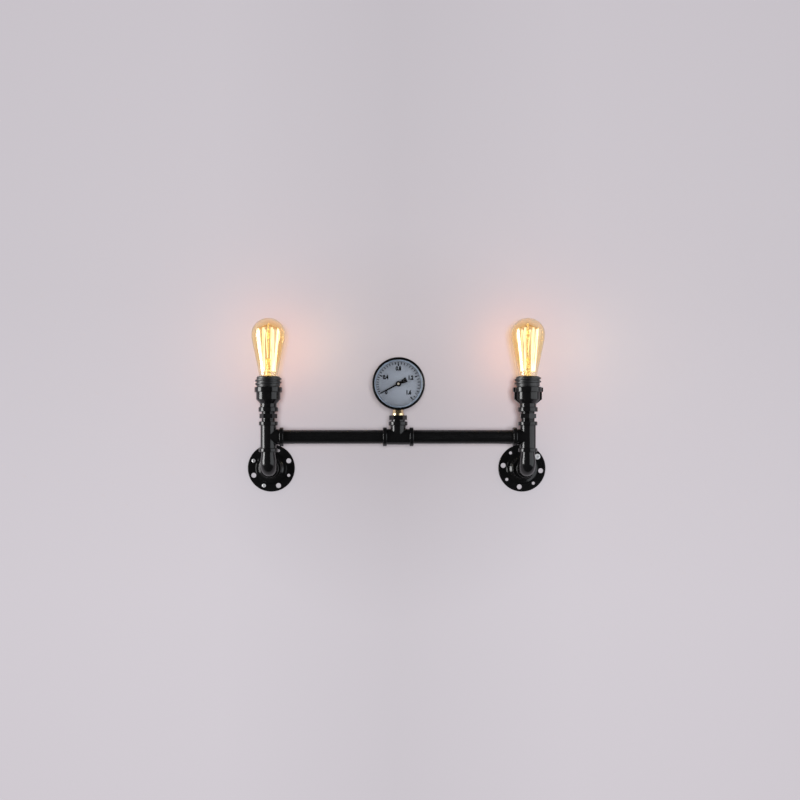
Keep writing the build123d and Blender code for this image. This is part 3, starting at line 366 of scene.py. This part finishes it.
def stem_glass():
    """Clouded glass of the mount, with a painted glow: its emission stands in for the filament's
    light falling on it.
    """
    look = Look("stem_glass", (1.0, 0.64, 0.26), 0.25, Transmission_Weight=0.4, IOR=1.5)
    clouds = look.spread(look.noise(420, detail=3.0), 0.0, 1.0, start=0.42, end=0.58)
    # Painted glow: the clouded colour also drives the emission, in place of the filament's light on
    # the mount
    light = look.vary_color(clouds, dark=0.2, light=1.2)
    look.link(light, look.shader.inputs["Emission Color"])
    look.shader.inputs["Emission Strength"].default_value = 0.4
    look.bump((look.noise(300, detail=3.0), 0.3 * mm))
    look.let_lamps_through((1.0, 0.95, 0.85))
    return look.material


def window_glass():
    """Clear flat glass, with little gloss to veil the dial."""
    look = Look("window_glass", (0.98, 0.99, 1.0), 0.0, Transmission_Weight=1.0, IOR=1.2)
    look.bump((look.noise(30, detail=1.0), 0.01 * mm))
    look.let_lamps_through((0.94, 0.95, 0.96))
    return look.material


def filament_light():
    """Glowing wire, seen directly and through glass, that doesn't scatter light about."""
    look = Look("filament", (0.3, 0.2, 0.1), 0.6)
    scattered = look.node("ShaderNodeLightPath").outputs["Is Diffuse Ray"]
    strength = look.math("MULTIPLY_ADD", scattered, -filament_strength, filament_strength)
    look.shader.inputs["Emission Color"].default_value = (*filament_color, 1)
    look.link(strength, look.shader.inputs["Emission Strength"])
    look.material.cycles.emission_sampling = "NONE"
    return look.material


def plain_coat(name, color, roughness, grain, **values):
    """Ink, rubber, sleeve or dial paint: an even colour with a fine grain."""
    look = Look(name, color, roughness, **values)
    look.vary_color(look.noise(grain), dark=0.88, light=1.1)
    look.vary_roughness(look.noise(grain * 2), low=0.85 * roughness, high=1.15 * roughness)
    look.bump((look.noise(grain * 4, detail=2.0), 0.01 * mm))
    return look.material


def wall_paint():
    """Pale matt paint with a painted shadow, darkest behind the object, and painted light low at
    either side; clear from behind and to shadow rays.
    """
    look = Look("wall", wall_color, 0.85)
    apart = look.node("ShaderNodeSeparateXYZ")
    look.link(look.place, apart.inputs["Vector"])
    away = look.node("ShaderNodeVectorMath")
    away.operation = "DISTANCE"
    away.inputs[1].default_value = painted_shadow_centre
    look.link(look.place, away.inputs[0])
    aside = look.math("ABSOLUTE", apart.outputs["X"])
    outward = look.spread(away.outputs["Value"], 0.0, painted_shadow_weight, *painted_shadow_reach)
    sideways = look.spread(aside, 0.0, painted_side_weight, *painted_light_side)
    downward = look.spread(apart.outputs["Z"], 0.0, painted_fall_weight, *painted_light_fall)
    # Painted light: paler away from the object, to the sides and low down; painted shadow darkest
    # behind the object
    painted_light = look.math("ADD", look.math("ADD", outward, sideways), downward)
    look.vary_color(painted_light, *painted_wall_shading)
    look.bump((look.noise(120, detail=3.0), 0.08 * mm))
    behind = look.node("ShaderNodeNewGeometry").outputs["Backfacing"]
    shadow = look.node("ShaderNodeLightPath").outputs["Is Shadow Ray"]
    look.clear_where(look.math("MAXIMUM", behind, shadow))
    return look.material


looks = {
    "cast": cast_paint(),
    "pipe": pipe_paint(),
    "black_phenolic": phenolic(),
    "ceramic": porcelain(),
    "brass": metal("brass", (0.74, 0.58, 0.34), 0.2, 0.34, turned=0.01 * mm),
    "dull_brass": metal("dull_brass", (0.42, 0.36, 0.26), 0.4, 0.55),
    "cap_brass": metal("cap_brass", (0.8, 0.62, 0.3), 0.22, 0.38),
    "cap_insulator": black_glass(),
    "solder": metal("solder", (0.55, 0.55, 0.56), 0.35, 0.5),
    "amber_glass": amber_glass(),
    "stem_glass": stem_glass(),
    "support_wire": metal("support_wire", (0.5, 0.27, 0.07), 0.35, 0.5),
    "filament": filament_light(),
    "zinc_steel": metal("zinc_steel", (0.75, 0.75, 0.76), 0.35, 0.5, metallic=0.5),
    "lead_sleeve": plain_coat("lead_sleeve", (0.05, 0.05, 0.05), 0.7, grain=300),
    "gauge_black": enamel(),
    "rubber": plain_coat("rubber", (0.62, 0.68, 0.76), 0.6, grain=400),
    "window_glass": window_glass(),
    # The dial is white: this dim grey-blue is painted shade, for the shade it lies in behind the
    # bezel and window
    "dial_white": plain_coat("dial_white", (0.168, 0.183, 0.208), 0.5, grain=120),
    "pointer_black": plain_coat(
        "pointer_black", (0.003, 0.003, 0.003), 0.7, grain=500, Specular_IOR_Level=0.05
    ),
    "steel": metal("steel", (0.6, 0.6, 0.62), 0.2, 0.35, turned=0.01 * mm),
    "phosphor_bronze": metal("phosphor_bronze", (0.7, 0.4, 0.2), 0.25, 0.4),
}


def dress_frame():
    """Gives every node the look of its slot. Drawn pipes and the pointer's bush have their own."""
    for part in frame["record"]["subparts"]:
        node, look = part["node"], part["material_slot"]
        if look == "black_paint":
            look = "pipe" if node.endswith(straight_pipes) else "cast"
        elif node == "pointer_bush":
            look = "dull_brass"
        mesh = nodes[node].data
        mesh.materials.clear()
        mesh.materials.append(looks[look])


def add_piece(name, data, body, look):
    """Puts a mesh or a curve in the scene as a piece on a body, dressed in the given look."""
    piece = bpy.data.objects.new(name, data)
    bpy.context.scene.collection.objects.link(piece)
    data.materials.append(looks[look])
    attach(piece, body)
    return piece


def mesh_piece(name, build, body, look):
    """A mesh piece whose shape is filled by build(bmesh)."""
    mesh = bpy.data.meshes.new(name)
    shape = bmesh.new()
    build(shape)
    shape.normal_update()
    shape.to_mesh(mesh)
    shape.free()
    return add_piece(name, mesh, body, look)


def smooth(piece, angle=40.0):
    """Smooth shading, with edges sharper than the angle kept."""
    chosen = {"object": piece, "active_object": piece, "selected_editable_objects": [piece]}
    with bpy.context.temp_override(**chosen):
        bpy.ops.object.shade_smooth_by_angle(angle=radians(angle))


def skin(shape, rings):
    """Quads between each ring of corners and the next."""
    for one, two in zip(rings, rings[1:]):
        for corner in range(len(one)):
            after = (corner + 1) % len(one)
            shape.faces.new((one[corner], two[corner], two[after], one[after]))


def add_mark(shape, centre, angle, reach, width, height):
    """A flat printed bar along a radius of the dial, between two distances from its centre."""
    start, end = polar(reach[0], angle), polar(reach[1], angle)
    along = (end - start).normalized()
    across = Vector((-along.y, along.x)) * width / 2
    corners = [start + across, start - across, end - across, end + across]
    front = [shape.verts.new(centre + Vector((corner.x, -height, corner.y))) for corner in corners]
    back = [shape.verts.new(centre + Vector((corner.x, 0, corner.y))) for corner in corners]
    shape.faces.new(front)
    shape.faces.new(reversed(back))
    skin(shape, [front, back])


def numeral(text, place):
    """A bold number on the dial, pressed flat to the height of its ink."""
    letter = bpy.data.curves.new("numeral", "FONT")
    letter.body = text
    letter.size = numeral_height / numeral_share
    letter.align_x = "CENTER"
    letter.align_y = "CENTER"
    letter.bevel_depth = numeral_boldness
    letter.bevel_resolution = 1
    drawn = bpy.data.objects.new("numeral", letter)
    bpy.context.scene.collection.objects.link(drawn)
    bpy.context.view_layer.update()
    mesh = bpy.data.meshes.new_from_object(drawn.evaluated_get(bpy.context.evaluated_depsgraph_get()))
    bpy.data.objects.remove(drawn)
    mesh.transform(Matrix.Diagonal((numeral_squeeze, 1, dial_ink / 2 / numeral_boldness, 1)))
    mesh.transform(Matrix.Rotation(radians(90), 4, "X"))
    mesh.transform(Matrix.Translation(place))
    mesh.materials.clear()
    add_piece("numeral_" + text.replace(".", "_"), mesh, "frame", "pointer_black")


def dial_print():
    """Marks and numbers on the dial."""
    low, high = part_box("gauge_dial")
    centre = Vector(((low.x + high.x) / 2, low.y, (low.z + high.z) / 2))
    angles = [major_angles[0]]
    for one, two in zip(major_angles, major_angles[1:]):
        angles += [one + (two - one) * (step + 1) / divisions for step in range(divisions)]

    def build(shape):
        for angle in angles:
            add_mark(shape, centre, angle, tick_reach, tick_width, dial_ink)
        for angle in major_angles:
            add_mark(shape, centre, angle, major_reach, major_width, dial_ink + major_rise)

    mesh_piece("dial_marks", build, "frame", "pointer_black")
    for text, (x, z) in numerals.items():
        numeral(text, centre + Vector((x, -dial_ink / 2, z)))


def pointer_washer():
    """Black washer pressed over the pointer's bush, which leaves a small brass eye."""
    low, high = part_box("pointer_bush")
    front = Vector(((low.x + high.x) / 2, low.y - washer_rise, (low.z + high.z) / 2))
    depth = (high.y - low.y) / 2
    corners = ((washer_bore, 0), (washer_radius, 0), (washer_radius, depth), (washer_bore, depth))

    def build(shape):
        rings = []
        for radius, back in corners:
            spots = [polar(radius, 360 * step / washer_steps) for step in range(washer_steps)]
            rings.append([shape.verts.new(front + Vector((spot.x, back, spot.y))) for spot in spots])
        skin(shape, rings + rings[:1])
        bmesh.ops.recalc_face_normals(shape, faces=shape.faces)

    smooth(mesh_piece("pointer_washer", build, "pointer", "pointer_black"))


def thread(name, centre, foot, top):
    """A helical thread round an upright neck, tapering away at both ends."""
    turns = (top - foot) / thread_pitch - 1
    count = int(turns * thread_steps)
    root = thread_root - thread_sink

    def build(shape):
        rings = []
        for step in range(count + 1):
            angle = tau * step / thread_steps
            fade = min(1.0, step / thread_fade, (count - step) / thread_fade)
            crest = thread_root + (thread_crest - thread_root) * fade
            height = foot + thread_pitch * (0.5 + step / thread_steps)
            ring = []
            for radius, rise in (
                (root, -thread_half_foot), (crest, -thread_half_crest),
                (crest, thread_half_crest), (root, thread_half_foot),
            ):
                x = centre.x + radius * cos(angle)
                y = centre.y + radius * sin(angle)
                ring.append(shape.verts.new((x, y, height + rise * thread_pitch)))
            rings.append(ring)
        skin(shape, rings)
        shape.faces.new(rings[0])
        shape.faces.new(reversed(rings[-1]))

    mesh_piece(name, build, "frame", "cast")


def neck_threads():
    """Bare threads below and above the hexagon of each hexagon nipple."""
    for side in sides:
        nipple = middle(f"{side}_hex_nipple")
        tee_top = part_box(f"{side}_riser_tee")[1].z
        reducer_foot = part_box(f"{side}_bell_reducer")[0].z
        spots = [vertex.co for vertex in nodes[f"{side}_hex_nipple"].data.vertices]
        rim = max((spot - nipple).xy.length for spot in spots)
        heights = [spot.z for spot in spots if (spot - nipple).xy.length > corner_share * rim]
        thread(f"{side}_lower_thread", nipple, tee_top, min(heights))
        thread(f"{side}_upper_thread", nipple, max(heights), reducer_foot)


def wires(name, runs, radius, body, look):
    """Round wires, each along its own points. They cast no shadow."""
    curve = bpy.data.curves.new(name, "CURVE")
    curve.dimensions = "3D"
    curve.bevel_depth = radius
    curve.bevel_resolution = 2
    curve.resolution_u = 6
    for run in runs:
        line = curve.splines.new("NURBS")
        line.points.add(len(run) - 1)
        for point, place in zip(line.points, run):
            point.co = (*place, 1)
        line.order_u = 3
        line.use_endpoint_u = True
    piece = add_piece(name, curve, body, look)
    piece.visible_shadow = False
    return piece


def bulb_axis(side):
    """The bulb's axis at the rim of its cap."""
    low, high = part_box(f"{side}_bulb_cap")
    return Vector(((low.x + high.x) / 2, (low.y + high.y) / 2, high.z))


def cage_corners():
    """The filament's corners as (at the top, angle), in a round that starts beside the opening."""
    step = 180 / cage_hooks
    first = cage_opening + step
    corners = [(turn % 2 == 0, first + turn * step) for turn in range(2 * cage_hooks - 1)]
    return [(False, first)] + corners + [(False, corners[-1][1])]


def on_cage(axis, at_top, angle, up=0.0):
    """A point at an angle on one of the cage's two rings, or so far up from it."""
    radius, height = cage_top if at_top else cage_foot
    place = polar(radius, angle)
    return axis + Vector((place.x, place.y, height + up))


def strand(axis, start, end, corner):
    """Points between two corners, bowed a little out or in."""
    points = []
    for share in strand_shares:
        spot = Vector((corner * bow_noise[0], share * bow_noise[1], bow_noise[2]))
        bow = strand_bow * sin(share * tau / 2) * noise.noise(spot)
        place = start.lerp(end, share)
        points.append(place + (place - axis).normalized() * bow)
    return points


def filament(side):
    """The squirrel-cage filament: one wire up and down round the cage, looped at its hooks."""
    axis = bulb_axis(side)
    corners = cage_corners()
    run = []
    for corner, (at_top, angle) in enumerate(corners):
        turn = degrees(hairpin / (cage_top if at_top else cage_foot)[0])
        way = -1 if at_top else 1
        for offset, rise in ((-turn, hairpin), (-turn, 0), (turn, 0), (turn, hairpin)):
            run.append(on_cage(axis, at_top, angle + offset, up=way * rise))
        if corner + 1 < len(corners):
            end = on_cage(axis, not at_top, corners[corner + 1][1] - turn, up=-way * hairpin)
            run += strand(axis, run[-1], end, corner)
    piece = wires(f"{side}_filament_wire", [run], wire_radius, f"{side}_bulb", "filament")
    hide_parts(f"{side}_bulb_filament")


def supports(side):
    """The cage's hooks, on wires from the button at the tip of the rod and from the stem."""
    axis = bulb_axis(side)
    corners = cage_corners()
    runs = []
    for corner, (at_top, angle) in enumerate(corners):
        if at_top:
            root, height = rod_radius, crown
        elif corner in (0, len(corners) - 1):
            root, height = stem_radius / 2, stem_top
        else:
            root, height = stem_radius, cage_foot[1] + 2 * hook_radius
        place = polar(root, angle)
        start = axis + Vector((place.x, place.y, height))
        hook = on_cage(axis, at_top, angle)
        out = Vector((hook.x - axis.x, hook.y - axis.y, 0)).normalized()
        run = [start, hook - out * hook_radius * 2]
        for step in range(hook_steps):
            around = tau * (0.5 + step / hook_steps)
            run.append(hook + hook_radius * (out * cos(around) + Vector((0, 0, sin(around)))))
        runs.append(run)
    piece = wires(f"{side}_cage_hooks", runs, support_radius, f"{side}_bulb", "support_wire")
    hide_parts(f"{side}_bulb_supports")


def glass_mount(side):
    """Glass flare, stem and rod, with the bead and the button that carry the cage."""
    axis = bulb_axis(side)
    low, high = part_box(f"{side}_bulb_stem")
    flare = (high.x - low.x) / 2
    foot = low.z - axis.z
    profile = (
        (0, foot), (flare, foot), (flare, foot + flare_rise), (flare_neck, foot + 2 * flare_rise),
        (stem_waist, stem_top / 4), (stem_radius, stem_top / 2),
        (stem_radius, stem_top - stem_radius / 2), (stem_shoulder, stem_top),
        (rod_radius, stem_top + stem_radius / 2), (rod_radius, bead_foot),
        (bead_shoulder, bead_foot + bead_radius), (bead_radius, (bead_foot + bead_top) / 2),
        (bead_shoulder, bead_top - bead_radius), (rod_radius, bead_top),
        (rod_radius, crown - crown_radius), (crown_radius, crown - crown_radius / 2),
        (crown_radius, crown + crown_radius / 2), (0, crown + crown_radius),
    )

    def build(shape):
        line = [shape.verts.new(axis + Vector((radius, 0, height))) for radius, height in profile]
        edges = [shape.edges.new(pair) for pair in zip(line, line[1:])]
        bmesh.ops.spin(
            shape, geom=line + edges, cent=axis, axis=(0, 0, 1), angle=tau, steps=mount_steps
        )
        bmesh.ops.remove_doubles(shape, verts=shape.verts, dist=weld_gap)
        bmesh.ops.recalc_face_normals(shape, faces=shape.faces)

    piece = mesh_piece(f"{side}_glass_mount", build, f"{side}_bulb", "stem_glass")
    smooth(piece, mount_sharp_angle)
    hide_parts(f"{side}_bulb_stem")
    piece.visible_shadow = False


def bulb_glow(side):
    """A soft warm lamp in the middle of the cage, for its glow on the wall."""
    lamp = bpy.data.lights.new(f"{side}_glow", "POINT")
    lamp.energy = glow_power
    lamp.color = glow_color
    lamp.shadow_soft_size = glow_radius
    holder = bpy.data.objects.new(f"{side}_glow", lamp)
    bpy.context.scene.collection.objects.link(holder)
    holder.location = middle(f"{side}_bulb_filament")
    holder.visible_camera = False
    holder.visible_glossy = False
    holder.visible_transmission = False
    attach(holder, f"{side}_bulb")


def wall():
    """Square of wall behind the light."""
    mesh = bpy.data.meshes.new("wall")
    half = wall_side / 2
    corners = [(x * half, wall_gap, z * half) for x, z in ((-1, -1), (1, -1), (1, 1), (-1, 1))]
    mesh.from_pydata(corners, [], [(0, 1, 2, 3)])
    mesh.materials.append(wall_paint())
    backdrop = bpy.data.objects.new("wall", mesh)
    bpy.context.scene.collection.objects.link(backdrop)


def room():
    """Pale surroundings: full strength where seen or seen through glass, dimmer as light."""
    world = bpy.data.worlds.new("room")
    bpy.context.scene.world = world
    world.use_nodes = True
    tree = world.node_tree
    background = tree.nodes["Background"]
    background.inputs["Color"].default_value = (*room_color, 1)
    path = tree.nodes.new("ShaderNodeLightPath")
    seen = tree.nodes.new("ShaderNodeMath")
    seen.operation = "MAXIMUM"
    tree.links.new(path.outputs["Is Camera Ray"], seen.inputs[0])
    tree.links.new(path.outputs["Is Transmission Ray"], seen.inputs[1])
    unseen = tree.nodes.new("ShaderNodeMix")
    unseen.inputs["A"].default_value = room_fill
    unseen.inputs["B"].default_value = room_gloss
    tree.links.new(path.outputs["Is Glossy Ray"], unseen.inputs["Factor"])
    strength = tree.nodes.new("ShaderNodeMix")
    strength.inputs["B"].default_value = room_seen
    tree.links.new(seen.outputs["Value"], strength.inputs["Factor"])
    tree.links.new(unseen.outputs["Result"], strength.inputs["A"])
    tree.links.new(strength.outputs["Result"], background.inputs["Strength"])


def panel(name, place, width, height, power, color):
    """A soft rectangular lamp that faces the light."""
    lamp = bpy.data.lights.new(name, "AREA")
    lamp.shape = "RECTANGLE"
    lamp.size = width
    lamp.size_y = height
    lamp.energy = power
    lamp.color = color
    holder = bpy.data.objects.new(name, lamp)
    bpy.context.scene.collection.objects.link(holder)
    holder.location = place
    aim = Vector(lamp_target) - Vector(place)
    holder.rotation_euler = aim.to_track_quat("-Z", "Y").to_euler()
    holder.visible_camera = False


def lamps():
    """Side panels that light all but the wall. The third panel and the glow light only the wall."""
    for name, setting in panels.items():
        panel(name, *setting)
    backdrop = bpy.data.objects["wall"]
    only_wall = bpy.data.collections.new("only_wall")
    only_wall.objects.link(backdrop)
    for name in ("wall_panel", "left_glow", "right_glow"):
        bpy.data.objects[name].light_linking.receiver_collection = only_wall
    all_but_wall = bpy.data.collections.new("all_but_wall")
    all_but_wall.objects.link(backdrop)
    all_but_wall.collection_objects[0].light_linking.link_state = "EXCLUDE"
    for name in ("left_panel", "right_panel"):
        bpy.data.objects[name].light_linking.receiver_collection = all_but_wall


def camera():
    """The photograph's camera: level, square to the wall, and shifted to the same frame."""
    data = bpy.data.cameras.new("camera")
    data.sensor_width = sensor
    data.lens = sensor * focal_pixels / picture_side
    data.shift_x = 0.5 - axis_pixel[0] / picture_side
    data.shift_y = axis_pixel[1] / picture_side - 0.5
    holder = bpy.data.objects.new("camera", data)
    bpy.context.scene.collection.objects.link(holder)
    holder.location = camera_place
    holder.rotation_euler = (radians(90), 0, 0)
    bpy.context.scene.camera = holder
    bpy.context.scene.view_settings.view_transform = "Standard"


dress_frame()
dial_print()
pointer_washer()
neck_threads()
for lamp_side in sides:
    glass_mount(lamp_side)
    supports(lamp_side)
    filament(lamp_side)
    bulb_glow(lamp_side)
wall()
room()
lamps()
camera()
